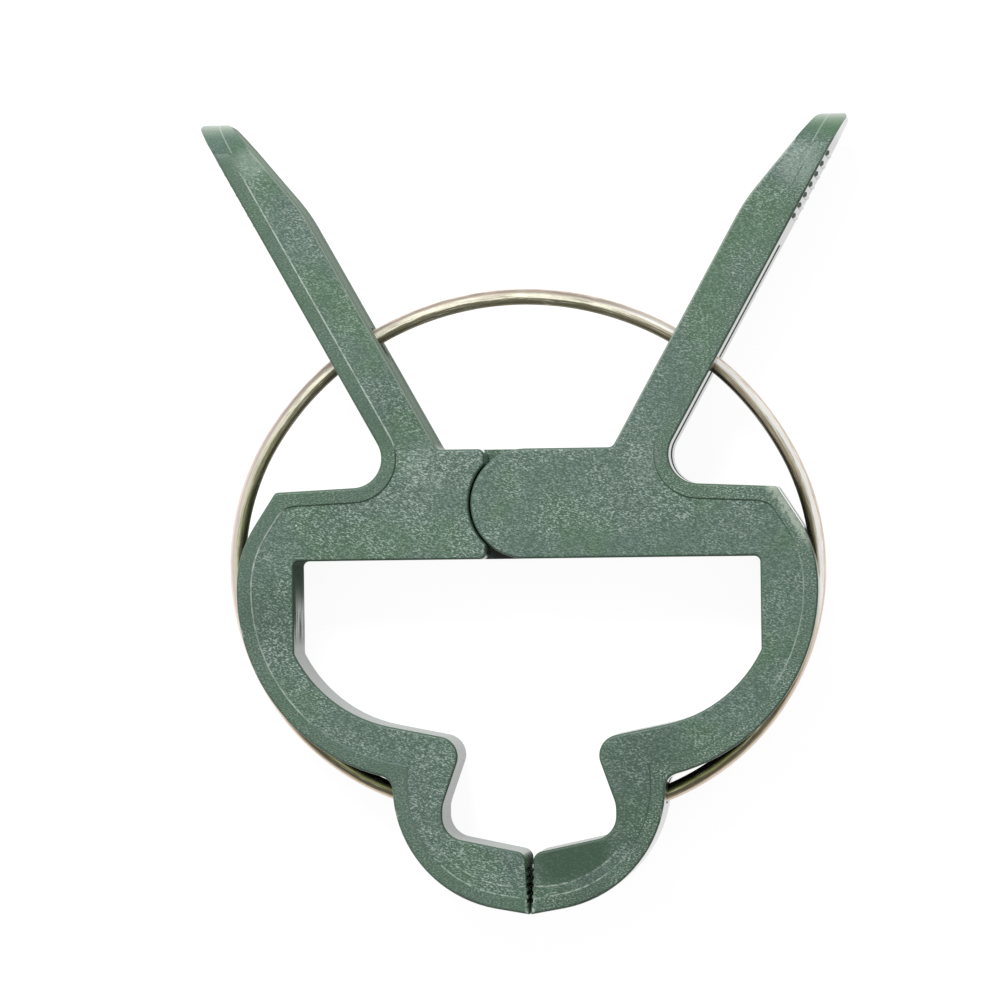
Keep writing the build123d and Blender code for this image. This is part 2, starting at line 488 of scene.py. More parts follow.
@dataclass(frozen=True)
class MouldedFinish:
    """Grey-green plastic from a spark-eroded mould, with rubbed edges and corners, and painted light and
    shade on its grain, edges, steps and hollows.

    Spots are given by X, Y and reach in the row frame, in millimetres. Aside is a distance from the middle,
    and a turn tells how far a wall faces outwards.
    """

    grey_green: Colour = (0.099, 0.163, 0.13)
    leaf_green: Colour = (0.084, 0.168, 0.096)
    rim_green: Colour = (0.078, 0.146, 0.092)
    tip_green: Colour = (0.034, 0.08, 0.045)
    # Dark green for painted shade on edges and shaded walls, and for the opening walls' streaks.
    shade_and_streak_green: Colour = (0.042, 0.088, 0.052)
    # Dark green for painted shade in the grain's hollows.
    pit_shade_green: Colour = (0.042, 0.078, 0.053)
    inner_green: Colour = (0.27, 0.37, 0.285)
    wall_green: Colour = (0.125, 0.172, 0.138)
    # Pale for painted light on ledges deep in the grooves and on the ridges' ends, which lie in shade.
    ledge_painted_light: Colour = (0.400, 0.47, 0.400)
    outer_green: Colour = (0.15, 0.215, 0.168)
    # Green lightened as painted light, for the gripping faces' upper part.
    gap_painted_light_green: Colour = (0.17, 0.28, 0.19)
    # Dark green for painted shade deep in the gap between the tips.
    gap_painted_shade: Colour = (0.06, 0.09, 0.068)
    # Pale for painted highlights on the gripping ribs.
    rib_highlight_pale: Colour = (0.48, 0.56, 0.49)
    # Near black for painted shadow in the knuckle's lower recess.
    recess_painted_shadow: Colour = (0.01, 0.014, 0.011)
    # Pale for painted light, meaning glints on the grain's tops, the handles' tops and the left neck's step,
    # and for pale patches.
    haze_and_light_pale: Colour = (0.45, 0.55, 0.49)
    # Pale for rubbed wear on the right shoulder and nicks, and for painted light on the handles' ends and
    # inner edges.
    worn_and_lit_pale: Colour = (0.47, 0.55, 0.46)
    # Pale for painted highlights on the rim's step, and for the tips' second line and lips.
    line_and_highlight_pale: Colour = (0.85, 0.95, 0.87)
    dust: Colour = (0.72, 0.76, 0.700)
    reaches: Reaches = Reaches()
    tilts: Tilts = Tilts()
    levels: Levels = Levels()
    shares: Shares = Shares()
    grain_noise: Noise = Noise(14.0, 1.5, rough=0.55, twist=0.3)
    clouds: Noise = Noise(0.18, 3.0, (0.4, 0.64))
    streak_noise: Noise = Noise(2.0, 2.0, (0.46, 0.58))
    crest_zones: Noise = Noise(0.45, 2.0, (0.36, 0.62))
    wear: Noise = Noise(3.0, 3.0, (0.36, 0.58), rough=0.7)
    line_wear: Noise = Noise(2.4, 3.0, (0.38, 0.6), rough=0.7)
    haze_clouds: Span = (0.3, 0.6)
    crest_heights: Span = (0.5, 0.67)
    pit_heights: Span = (0.48, 0.32)
    grain_height: float = 0.02
    grain_fall: float = 0.27
    grain_stretch: float = 0.45
    streak_stretch: float = 0.14
    dust_per_mm: float = 0.55
    dust_reach: float = 0.045
    face_roughness: float = 0.52
    wall_roughness: float = 0.24
    streak_roughness: float = 0.64
    outer_roughness: float = 0.06
    rough_wall: float = 0.9
    rough_end: float = 0.85
    inner_roughness: float = 0.75
    tip_centre: Point = (0.81, -18.34, 0.0)
    polish_out: Span = (6.85, 6.7)
    second_line: Span = (6.85, 0.09)
    gap_aside: Span = (0.5, 0.36)
    lip_aside: Span = (0.2, 0.2)
    rib_pitch: float = 0.52
    rib_crests: Span = (0.4, 0.9)
    dull_aside: Span = (15.93, 0.9)
    streak_aside: Span = (15.93, 1.2)
    outer_turn: Span = (0.0, 2.0)
    dull_turn: Span = (0.5, -0.5)
    step_turn: Span = (0.0, -0.5)
    polished: Spots = ((2.2, -23.4, 3.4), (4.0, -23.2, 3.4))
    shaded: Spots = ((8.0, -17.0, 4.5), (7.0, -21.0, 4.5), (3.0, -25.5, 4.0), (-17.3, -6.5, 4.0))
    dimmed: Spots = ((-9.2, 7.2, 4.0), (-13.0, -0.1, 4.0), (7.0, -16.6, 4.0), (4.5, -24.8, 3.5))
    # Pale patches, which are painted light on the two handles' tops.
    hazy_and_lit_spots: Spots = ((-6.6, 3.2, 2.4), (7.4, 3.6, 2.2), (19.0, 23.7, 2.5), (-18.4, 24.4, 1.8))
    # Painted light on the right handle's top.
    lit_handle_top: Spots = ((19.0, 23.7, 2.3),)
    nicks: Spots = ((-19.5, -7.8, 0.5), (-18.7, -10.4, 0.5), (-9.0, -20.2, 0.5), (9.2, -20.4, 0.5))
    shaded_corner: Spots = ((15.9, -3.0, 3.8),)
    recess: Spots = ((-1.7, -2.6, 1.8),)
    handle_line: tuple[float, float, float] = (0.875, -0.485, 5.21)
    handle_line_reach: float = 0.07
    shoulder_edge: tuple[float, float, float] = (0.823, 0.569, 15.25)
    shoulder_depths: Span = (0.75, 0.25)
    shoulder_ragged: float = 0.35
    end_crease: float = 25.0
    crease_width: float = 0.1
    crease_fade: float = 1.4
    haze_fade: Span = (0.6, -0.2)
    right_end_lift: float = -1.3

    def material(self) -> bpy.types.Material:
        """Makes the plastic's material.

        Returns:
            The material, patterned in object coordinates.
        """
        made = new_material("jaw_plastic_moulded")
        jaw = JawBench(made.node_tree)
        shares = self.shares
        polish = self.polish(jaw)
        grain = self.grain(jaw)
        rough = jaw.most(jaw.flat, jaw.times(jaw.inner_handle, shares.inner_grain))
        on_handle = jaw.blend(jaw.handle, 1.0, shares.handle_grain)
        to_end = jaw.maths("MULTIPLY_ADD", jaw.right, self.right_end_lift, jaw.y)
        smooth_end = jaw.blend(jaw.ease(to_end, *self.reaches.smooth_end), 1.0, shares.end_grain)
        at_end = jaw.times(smooth_end, on_handle)
        grainy = jaw.times(rough, at_end, jaw.blend(polish, 1.0, shares.polished_grain))

        bump = jaw.add("Bump")
        jaw.feed(bump.inputs["Height"], grain)
        bump.inputs["Distance"].default_value = self.grain_height * MM
        jaw.feed(bump.inputs["Strength"], jaw.blend(grainy, *shares.bump))

        plastic = jaw.add("BsdfPrincipled")
        jaw.feed(plastic.inputs["Base Color"], self.colour(jaw, grain, grainy, polish))
        jaw.feed(plastic.inputs["Roughness"], self.roughness(jaw))
        jaw.feed(plastic.inputs["Normal"], bump.outputs[0])
        jaw.finish(plastic.outputs[0])
        return made

    def grain(self, jaw: JawBench) -> Socket:
        """Draws the mould's grain: fine dashes that lie across the clip, falling to the right.

        Args:
            jaw: The jaws' bench.

        Returns:
            The grain's height.
        """
        along = jaw.times(jaw.maths("MULTIPLY_ADD", jaw.y, -self.grain_fall, jaw.x), self.grain_stretch)
        lie = jaw.join(along, jaw.maths("MULTIPLY_ADD", jaw.x, self.grain_fall, jaw.y), jaw.z)
        return jaw.noise(lie, self.grain_noise)

    def polish(self, jaw: JawBench) -> Socket:
        """Smooth dark patch on the right gripping tip, above its second line."""
        within = jaw.ease(jaw.distance(jaw.folded, self.tip_centre), *self.polish_out)
        return jaw.times(jaw.near(jaw.plan, self.polished), within, jaw.right, jaw.front)

    def gap(self, jaw: JawBench) -> Socket:
        """Shaded gripping faces between the tips."""
        between = jaw.times(jaw.ease(jaw.aside, *self.gap_aside), jaw.by_level(self.levels.gap))
        return jaw.times(between, jaw.by_y(self.reaches.grip), jaw.wall)

    def grip(self, jaw: JawBench) -> Socket:
        """Colours the gripping faces: lightened green above as painted light, dark below as painted shade,
        with painted highlights on the ribs near their upper end.

        Args:
            jaw: The jaws' bench.

        Returns:
            The colour.
        """
        wave = jaw.maths("COSINE", jaw.times(jaw.y, math.tau / self.rib_pitch))
        crest_glints = jaw.times(jaw.ease(wave, *self.rib_crests), jaw.by_y(self.reaches.upper_ribs))
        ribs = jaw.times(crest_glints, jaw.band(jaw.z, *self.levels.rib_band))
        # Painted light above and painted shade below on the gripping faces, with painted highlights on the
        # ribs.
        ground = jaw.mix(jaw.ease(jaw.z, *self.levels.grip), self.gap_painted_shade, self.gap_painted_light_green)
        return jaw.mix(jaw.times(ribs, self.shares.ribs), ground, self.rib_highlight_pale)

    def dull_and_shaded(self, jaw: JawBench) -> Socket:
        """Finds walls that reflect little and are darkened with painted shade: the opening's upper corner and
        the band below the face beside it.

        Args:
            jaw: The jaws' bench.

        Returns:
            How much the wall is roughened and shaded.
        """
        beside = jaw.band(jaw.aside, *self.dull_aside)
        high = jaw.ease(jaw.height, *self.levels.below_face)
        below_face = jaw.times(beside, high, jaw.by_y(self.reaches.opening))
        shaded = jaw.most(jaw.near(jaw.folded, self.shaded_corner), below_face)
        return jaw.times(shaded, jaw.ease(jaw.outward, *self.dull_turn))

    def streaks(self, jaw: JawBench) -> Socket:
        """Long streaks on the opening's side walls."""
        drawn = jaw.marks(jaw.join(jaw.x, jaw.times(jaw.y, self.streak_stretch), jaw.z), self.streak_noise)
        return jaw.times(drawn, jaw.band(jaw.aside, *self.streak_aside), jaw.by_y(self.reaches.streaks))

    def rim(self, jaw: JawBench) -> Socket:
        """Face of the raised rim."""
        return jaw.times(jaw.flat, jaw.by_level(self.levels.rim))

    def colour(self, jaw: JawBench, grain: Socket, grainy: Socket, polish: Socket) -> Socket:
        """Colours the plastic.

        Args:
            jaw: The jaws' bench.
            grain: Height of the mould's grain.
            grainy: How much of the grain shows.
            polish: Where the face is polished smooth.

        Returns:
            The colour.
        """
        body = self.face(jaw, polish)
        body = jaw.mix(jaw.times(jaw.wall, jaw.inner_handle), body, self.inner_side(jaw))
        body = self.hidden_step(jaw, body)
        bare = jaw.times(jaw.wall, jaw.rest(jaw.inner_handle))
        body = jaw.mix(bare, body, self.walls(jaw))
        # Dark grain pits: real grain, with painted shade in its hollows.
        pit_shade = jaw.times(jaw.ease(grain, *self.pit_heights), grainy, self.shares.pit_shade)
        body = jaw.mix(pit_shade, body, self.pit_shade_green)
        # Pale grain tops: real grain, painted pale as glints.
        body = jaw.mix(self.crest_glints(jaw, grain, grainy), body, self.haze_and_light_pale)
        body = jaw.mix(self.rubbed(jaw), body, self.worn_and_lit_pale)
        body = jaw.mix(self.lines(jaw), body, self.line_and_highlight_pale)
        body = jaw.mix(self.gap(jaw), body, self.grip(jaw))
        # Painted shadow deep in the knuckle's lower recess.
        low = jaw.times(jaw.near(jaw.plan, self.recess), jaw.by_level(jaw.DEEP_LEVEL))
        body = jaw.mix(low, body, self.recess_painted_shadow)
        dust = jaw.times(jaw.specks(jaw.place, self.dust_per_mm, self.dust_reach), jaw.flat)
        return jaw.mix(dust, body, self.dust)

    def face(self, jaw: JawBench, polish: Socket) -> Socket:
        """Colours the faces: clouded green, a greener rim, shaded patches, painted shade above the handles'
        end creases, pale patches that are painted light on the handles' tops, and edges darkened with painted
        shade.

        Args:
            jaw: The jaws' bench.
            polish: Where the face is polished smooth.

        Returns:
            The colour.
        """
        shares, crease = self.shares, self.end_crease
        clouds = jaw.noise(jaw.place, self.clouds)
        body = jaw.mix(jaw.ease(clouds, *self.clouds.marks), self.grey_green, self.leaf_green)
        body = jaw.mix(jaw.times(self.rim(jaw), shares.rim), body, self.rim_green)
        shade = jaw.times(jaw.near(jaw.plan, self.shaded), jaw.front, shares.shade)
        dim = jaw.times(jaw.near(jaw.plan, self.dimmed), jaw.front, shares.dim)
        # Painted shade above the handles' end creases, on the slope that catches the lamp.
        fading = jaw.by_y((crease + self.crease_fade, crease))
        above = jaw.times(jaw.by_y((crease - self.crease_width, crease)), fading, shares.shade_above_crease)
        body = jaw.mix(jaw.most(shade, polish, dim, above), body, self.tip_green)
        # Pale patches, painted light on the handles' tops near their end creases.
        clouded = jaw.ease(clouds, *self.haze_clouds)
        haze_and_light = jaw.times(jaw.near(jaw.plan, self.hazy_and_lit_spots), jaw.flat, clouded, shares.haze_and_light)
        haze_and_light = jaw.most(haze_and_light, jaw.times(jaw.near(jaw.plan, self.lit_handle_top), jaw.flat, shares.lit_handle_top))
        low, high = self.haze_fade
        body = jaw.mix(jaw.times(haze_and_light, jaw.by_y((crease + low, crease + high))), body, self.haze_and_light_pale)
        # Painted shade on the faces' edges, strongest on those turned away from the lamp.
        edge = jaw.times(jaw.by_tilt(self.tilts.edge), jaw.by_level(self.levels.edge))
        edge = jaw.times(edge, jaw.blend(jaw.turned_from_lamp, *shares.edge), jaw.rest(jaw.end))
        return jaw.mix(edge, body, self.shade_and_streak_green)

    def inner_side(self, jaw: JawBench) -> Socket:
        """Colours the handles' inner sides: pale green with two darker seams.

        Args:
            jaw: The jaws' bench.

        Returns:
            The colour.
        """
        near_face = jaw.times(jaw.band(jaw.height, *self.levels.face_band), self.shares.face_band)
        seams = jaw.most(jaw.band(jaw.height, *self.levels.seam_band), near_face)
        return jaw.mix(jaw.times(seams, self.shares.seams), self.inner_green, self.leaf_green)

    def hidden_step(self, jaw: JawBench, body: Socket) -> Socket:
        """Tones down the rim's step on both necks, where it hardly shows: painted shade on the right neck's
        step and painted light on the left neck's step.

        Args:
            jaw: The jaws' bench.
            body: The plastic's colour so far.

        Returns:
            The colour with the toned step.
        """
        step = self.step(jaw)
        neck = jaw.times(jaw.by_y(self.reaches.neck_top), jaw.by_y(self.reaches.neck_foot))
        # Painted shade on the right neck's step, which faces the lamp, and painted light on the left neck's
        # step, which faces away.
        painted_shade_on_step = jaw.times(step, jaw.right, neck, self.shares.right_neck)
        painted_light_on_step = jaw.times(step, jaw.left, neck, self.shares.left_neck)
        return jaw.mix(painted_light_on_step, jaw.mix(painted_shade_on_step, body, self.tip_green), self.haze_and_light_pale)

    def crest_glints(self, jaw: JawBench, grain: Socket, grainy: Socket) -> Socket:
        """Finds the grain's tops, painted pale as glints: thick in the pale spots, thin on the right arm and
        on the left rim.

        Args:
            jaw: The jaws' bench.
            grain: Height of the mould's grain.
            grainy: How much of the grain shows.

        Returns:
            How pale the grain is.
        """
        shares = self.shares
        zones = jaw.marks(jaw.place, self.crest_zones)
        hazy_and_lit_spots = jaw.times(jaw.near(jaw.plan, self.hazy_and_lit_spots), shares.hazy_crests)
        density = jaw.maths("ADD", jaw.blend(zones, *shares.crest_glints), hazy_and_lit_spots)
        right_arm = jaw.times(jaw.right, jaw.by_y(self.reaches.arms))
        on_face = jaw.blend(right_arm, 1.0, shares.right_crests)
        share = jaw.between(self.rim(jaw), on_face, jaw.blend(jaw.right, *shares.rim_crests))
        return jaw.times(jaw.ease(grain, *self.crest_heights), grainy, density, share)

    def walls(self, jaw: JawBench) -> Socket:
        """Colours the smooth walls: green, with streaks inside, pale ledges of painted light, and painted
        shade on the opening's corner.

        Args:
            jaw: The jaws' bench.

        Returns:
            The colour.
        """
        streaked = jaw.mix(self.streaks(jaw), self.wall_green, self.shade_and_streak_green)
        plain = jaw.mix(jaw.ease(jaw.outward, *self.outer_turn), streaked, self.outer_green)
        # Painted light on ledges deep in the grooves, which lie in shade.
        ledge = jaw.times(jaw.inside, jaw.by_tilt(self.tilts.ledge))
        plain = jaw.mix(jaw.times(ledge, self.shares.ledge), plain, self.ledge_painted_light)
        # Painted shade on the opening's upper corner and on the band below the face beside it.
        return jaw.mix(jaw.times(self.dull_and_shaded(jaw), self.shares.dull_and_shaded), plain, self.shade_and_streak_green)

    def rubbed(self, jaw: JawBench) -> Socket:
        """Finds where the plastic is pale: rubbed on the right shoulder and at nicks, painted light on the
        handles' ends, and painted highlights and a pale band along the handles' inner sides.

        Args:
            jaw: The jaws' bench.

        Returns:
            How pale the plastic is.
        """
        shares, levels, tilts = self.shares, self.levels, self.tilts
        worn = jaw.marks(jaw.place, self.wear)
        shoulder = jaw.times(self.shoulder(jaw, worn), jaw.front, shares.shoulder)
        edge = jaw.by_tilt(tilts.worn_edge)
        chipped = jaw.times(jaw.near(jaw.plan, self.nicks), edge, worn, jaw.by_level(levels.nicks))
        # Painted light on the slopes of the handles' ends, which face the lamp.
        end = jaw.times(jaw.end, jaw.by_tilt(tilts.end_slope), shares.ends)
        # Painted highlights on the handles' inner edges, and a pale band on their inner walls.
        round_over = jaw.times(jaw.by_tilt(tilts.round_foot), jaw.by_tilt(tilts.round_top))
        on_edge = jaw.times(round_over, jaw.by_level(levels.below_step), shares.round_over)
        below = jaw.times(jaw.band(jaw.height, *levels.pale_band), jaw.wall, shares.pale_band)
        handle = jaw.times(jaw.most(on_edge, below), jaw.inner_handle)
        return jaw.most(shoulder, jaw.times(chipped, shares.nicks), end, handle)

    def shoulder(self, jaw: JawBench, worn: Socket) -> Socket:
        """Finds the ragged strip that is rubbed along the right shoulder.

        Args:
            jaw: The jaws' bench.
            worn: How worn the plastic is.

        Returns:
            How rubbed the shoulder is.
        """
        across, along, out = self.shoulder_edge
        low, high = self.shoulder_depths
        depth = jaw.maths("MULTIPLY_ADD", jaw.y, along, jaw.times(jaw.x, across))
        deep = jaw.maths("MULTIPLY_ADD", worn, self.shoulder_ragged, depth)
        strip = jaw.times(jaw.ease(deep, out - low, out - high), jaw.by_y(self.reaches.shoulder_foot))
        wear = jaw.blend(worn, *self.shares.shoulder_wear)
        return jaw.times(strip, jaw.by_y(self.reaches.shoulder_top), wear)

    def step(self, jaw: JawBench) -> Socket:
        """Sloped step between the face and its raised rim."""
        slope = jaw.times(jaw.by_level(self.levels.step), jaw.by_tilt(self.tilts.step))
        return jaw.times(slope, jaw.ease(jaw.outward, *self.step_turn))

    def lines(self, jaw: JawBench) -> Socket:
        """Draws pale lines: painted highlights on the rim's step and on its run over the handles' ends, the
        tips' second line, and the lips.

        Args:
            jaw: The jaws' bench.

        Returns:
            How much of a line shows.
        """
        shares, reaches = self.shares, self.reaches
        worn = jaw.marks(jaw.place, self.line_wear)
        left_arm = jaw.times(jaw.left, jaw.by_y(reaches.left_arm_top), jaw.by_y(reaches.left_arm_foot))
        right_arm = jaw.times(jaw.right, jaw.by_y(reaches.right_arm_top), jaw.by_y(reaches.right_arm_foot))
        tip = jaw.times(jaw.by_y(reaches.tips), worn, jaw.blend(jaw.left, *shares.tip_line))
        on_handle = jaw.blend(jaw.left, *shares.handle_line)
        handle = jaw.times(jaw.handle, on_handle, jaw.by_y(reaches.below_end))
        lit = jaw.blend(jaw.by_y(reaches.lit_arm), *shares.lit_line)
        arms = jaw.most(jaw.times(left_arm, lit), jaw.times(right_arm, shares.right_line))
        shown = jaw.most(jaw.times(jaw.most(arms, handle), jaw.blend(worn, *shares.worn_line)), tip)
        across, along, out = self.handle_line
        slant = jaw.maths("MULTIPLY_ADD", jaw.y, along, jaw.times(jaw.aside, across))
        on_end = jaw.times(jaw.by_y(reaches.over_end), jaw.flat, shares.end_line)
        over_end = jaw.times(jaw.band(slant, out, self.handle_line_reach), on_end)
        second = jaw.band(jaw.distance(jaw.folded, self.tip_centre), *self.second_line)
        second = jaw.times(second, jaw.flat, jaw.by_y(reaches.second_line), worn, shares.second_line)
        lips = jaw.times(jaw.band(jaw.aside, *self.lip_aside), jaw.by_y(reaches.lips), worn, shares.lips)
        # The pale line on the rim's step is a painted highlight.
        return jaw.most(jaw.times(self.step(jaw), shown), over_end, second, lips)

    def roughness(self, jaw: JawBench) -> Socket:
        """Sets the gloss: matt faces, duller handle ends, smooth walls, and rough insides, gap and corner.

        Args:
            jaw: The jaws' bench.

        Returns:
            The roughness.
        """
        streaked = jaw.blend(self.streaks(jaw), self.wall_roughness, self.streak_roughness)
        smooth = jaw.between(jaw.ease(jaw.outward, *self.outer_turn), streaked, self.outer_roughness)
        smooth = jaw.between(jaw.inner_handle, smooth, self.inner_roughness)
        dull_and_shaded = jaw.most(self.gap(jaw), self.dull_and_shaded(jaw))
        wall = jaw.between(dull_and_shaded, smooth, self.rough_wall)
        beyond_crease = jaw.by_y((self.end_crease - self.crease_width, self.end_crease))
        face = jaw.blend(beyond_crease, self.face_roughness, self.rough_end)
        return jaw.between(jaw.by_tilt(self.tilts.matt), wall, face)


@dataclass(frozen=True)
class WireFinish:
    """Drawn spring wire, plated and tinted yellow, with painted reflections: pale on its outer side, dark on
    its inner side, with painted highlights and painted shadow at its lower ends.

    Tints go from the wire's inner to its outer side. Spans lie along the wire in millimetres, from where
    a change starts to where it is full, and grow to the left from the top.
    """

    # Painted reflections and highlights on the yellow plating: pale outer side, dark inner side, white
    # highlights.
    left_plating_and_reflection: Stops = (
        (0.0, (0.3, 0.25, 0.19)), (0.06, (0.18, 0.16, 0.095)), (0.16, (0.23, 0.21, 0.125)),
        (0.27, (0.28, 0.27, 0.165)), (0.4, (0.31, 0.3, 0.185)), (0.48, (0.5, 0.52, 0.29)),
        (0.56, (0.68, 0.68, 0.48)), (0.66, (0.82, 0.74, 0.66)), (0.82, (0.78, 0.67, 0.61)),
        (0.94, (0.84, 0.73, 0.66)), (1.0, (0.72, 0.6, 0.5)),
    )
    right_plating_and_reflection: Stops = (
        (0.0, (0.2, 0.16, 0.12)), (0.08, (0.12, 0.1, 0.07)), (0.2, (0.24, 0.2, 0.13)),
        (0.32, (0.38, 0.31, 0.25)), (0.4, (0.32, 0.31, 0.17)), (0.48, (0.44, 0.35, 0.29)),
        (0.56, (0.62, 0.58, 0.45)), (0.62, (0.96, 0.94, 0.88)), (0.7, (1.0, 1.0, 0.99)),
        (0.82, (1.0, 0.99, 0.97)), (0.88, (0.78, 0.72, 0.62)), (0.93, (0.52, 0.42, 0.32)),
        (1.0, (0.8, 0.66, 0.58)),
    )
    top_plating_and_reflection: Stops = (
        (0.0, (0.3, 0.25, 0.19)), (0.08, (0.17, 0.155, 0.1)), (0.3, (0.17, 0.16, 0.1)),
        (0.39, (0.25, 0.23, 0.145)), (0.46, (1.0, 0.98, 0.8)), (0.55, (0.6, 0.58, 0.46)),
        (0.63, (0.34, 0.33, 0.27)), (0.7, (0.23, 0.21, 0.175)), (0.79, (0.23, 0.195, 0.165)),
        (0.87, (0.32, 0.27, 0.23)), (0.94, (0.62, 0.53, 0.47)), (1.0, (0.95, 0.84, 0.77)),
    )
    low_plating_and_reflection: Stops = (
        (0.0, (0.03, 0.03, 0.02)), (0.25, (0.05, 0.05, 0.03)), (0.4, (0.15, 0.17, 0.065)),
        (0.52, (0.300, 0.32, 0.12)), (0.6, (0.12, 0.11, 0.07)), (0.74, (0.100, 0.085, 0.06)),
        (0.82, (0.300, 0.27, 0.17)), (0.9, (0.62, 0.500, 0.400)), (1.0, (0.76, 0.63, 0.55)),
    )
    right_from: Span = (4.0, -8.0)
    top_left: Span = (27.0, 15.0)
    top_right: Span = (-13.0, -3.0)
    low_left: Span = (38.0, 43.0)
    low_right: Span = (-31.0, -37.0)
    streak_noise: Noise = Noise(2.2, 4.0, rough=0.7)
    streak_stretch: Point = (0.30, 3.0, 3.0)
    streak_shift: float = 0.75
    scratch_noise: Noise = Noise(2.4, 3.0, rough=0.7)
    scratch_stretch: Point = (0.22, 4.0, 4.0)
    scratch_dark: Colour = (0.150, 0.125, 0.080)
    scratch_pale: Colour = (0.920, 0.900, 0.780)
    dark_marks: Span = (0.48, 0.36)
    pale_marks: Span = (0.56, 0.68)
    dark_share: float = 0.7
    pale_share: float = 0.55
    inner_half: Span = (0.5, 0.0)
    inner_share: Span = (0.2, 1.0)
    roughness: float = 0.30
    top_roughness: float = 0.52

    def material(self) -> bpy.types.Material:
        """Makes the wire's material.

        Returns:
            The material, which follows the wire by its own attributes.
        """
        made = new_material("ring_wire_plated")
        bench = NodeBench(made.node_tree)
        along = bench.attribute(Measure.ALONG)
        streaks = bench.noise(self.drawn_out(bench, self.streak_stretch), self.streak_noise)
        shift = bench.times(bench.maths("SUBTRACT", streaks, 0.5), self.streak_shift)
        shifted = bench.maths("ADD", bench.attribute(Measure.ACROSS), shift)
        spread = bench.maths("MULTIPLY_ADD", shifted, 0.5, 0.5)
        # The tints paint the wire's reflections of its surroundings, its highlights and its shadow at the
        # lower ends.
        platings_and_reflections = (self.left_plating_and_reflection, self.right_plating_and_reflection, self.top_plating_and_reflection, self.low_plating_and_reflection)
        left, right, top, low = (bench.ramp(spread, stops) for stops in platings_and_reflections)
        plating_and_reflection = bench.mix(bench.ease(along, *self.right_from), left, right)
        over_top = bench.times(bench.ease(along, *self.top_left), bench.ease(along, *self.top_right))
        plating_and_reflection = bench.mix(over_top, plating_and_reflection, top)
        below = bench.most(bench.ease(along, *self.low_left), bench.ease(along, *self.low_right))
        plating_and_reflection = bench.mix(below, plating_and_reflection, low)

        metal = bench.add("BsdfPrincipled")
        bench.feed(metal.inputs["Base Color"], self.scratched(bench, plating_and_reflection))
        metal.inputs["Metallic"].default_value = 1.0
        bench.feed(metal.inputs["Roughness"], bench.blend(over_top, self.roughness, self.top_roughness))
        bench.finish(metal.outputs[0])
        return made

    def drawn_out(self, bench: NodeBench, stretch: Point) -> Socket:
        """Place on the wire, drawn out by factors along, across and over it so that marks run along it."""
        factors = zip((Measure.ALONG, Measure.ACROSS, Measure.OVER), stretch)
        return bench.join(*(bench.times(bench.attribute(kind), factor) for kind, factor in factors))

    def scratched(self, bench: NodeBench, plating_and_reflection: Socket) -> Socket:
        """Draws long dark and pale scratches along the wire, most of them on its inner half.

        Args:
            bench: The material's bench.
            plating_and_reflection: The plating's colour with its painted reflections and highlights.

        Returns:
            The scratched colour.
        """
        marks = bench.noise(self.drawn_out(bench, self.scratch_stretch), self.scratch_noise)
        inner_half = bench.ease(bench.attribute(Measure.ACROSS), *self.inner_half)
        inner = bench.blend(inner_half, *self.inner_share)
        dark = bench.times(bench.ease(marks, *self.dark_marks), inner, self.dark_share)
        pale = bench.times(bench.ease(marks, *self.pale_marks), inner, self.pale_share)
        return bench.mix(pale, bench.mix(dark, plating_and_reflection, self.scratch_dark), self.scratch_pale)


@dataclass(frozen=True)
class FloorFinish:
    """Pale matt table top that a photograph shows as white, with the object's shadow left on it."""

    pale: float = 0.25
    glow: float = 0.92

    def material(self) -> bpy.types.Material:
        """Makes the floor's material.

        Returns:
            The material, white on camera, glossy and transmission rays.
        """
        made = new_material("floor_white")
        bench = NodeBench(made.node_tree)
        matt = bench.add("BsdfDiffuse")
        matt.inputs["Color"].default_value = (self.pale, self.pale, self.pale, 1.0)
        light = bench.add("Emission")
        bench.feed(light.inputs["Strength"], bench.times(bench.seen_by(*Ray), self.glow))
        bench.finish(bench.filled("AddShader", matt.outputs[0], light.outputs[0])[0])
        return made


def clear_selection() -> None:
    """Leaves object mode with nothing selected."""
    if bpy.context.mode != "OBJECT":
        bpy.ops.object.mode_set(mode="OBJECT")
    bpy.ops.object.select_all(action="DESELECT")


def turn_by(degrees: float) -> Matrix:
    """Turn in the plane by an angle in degrees."""
    return Matrix.Rotation(math.radians(degrees), 2)


@dataclass
class Jaws:
    """The two jaws, which keep their CAD shape."""

    finish: MouldedFinish

    def dress(self) -> None:
        """Gives both jaws the moulded finish."""
        plastic = self.finish.material()
        for side in Side:
            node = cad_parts[side.body]
            for slot in node.material_slots:
                slot.material = plastic
            log.info("%s dressed in %s", side.body, plastic.name)


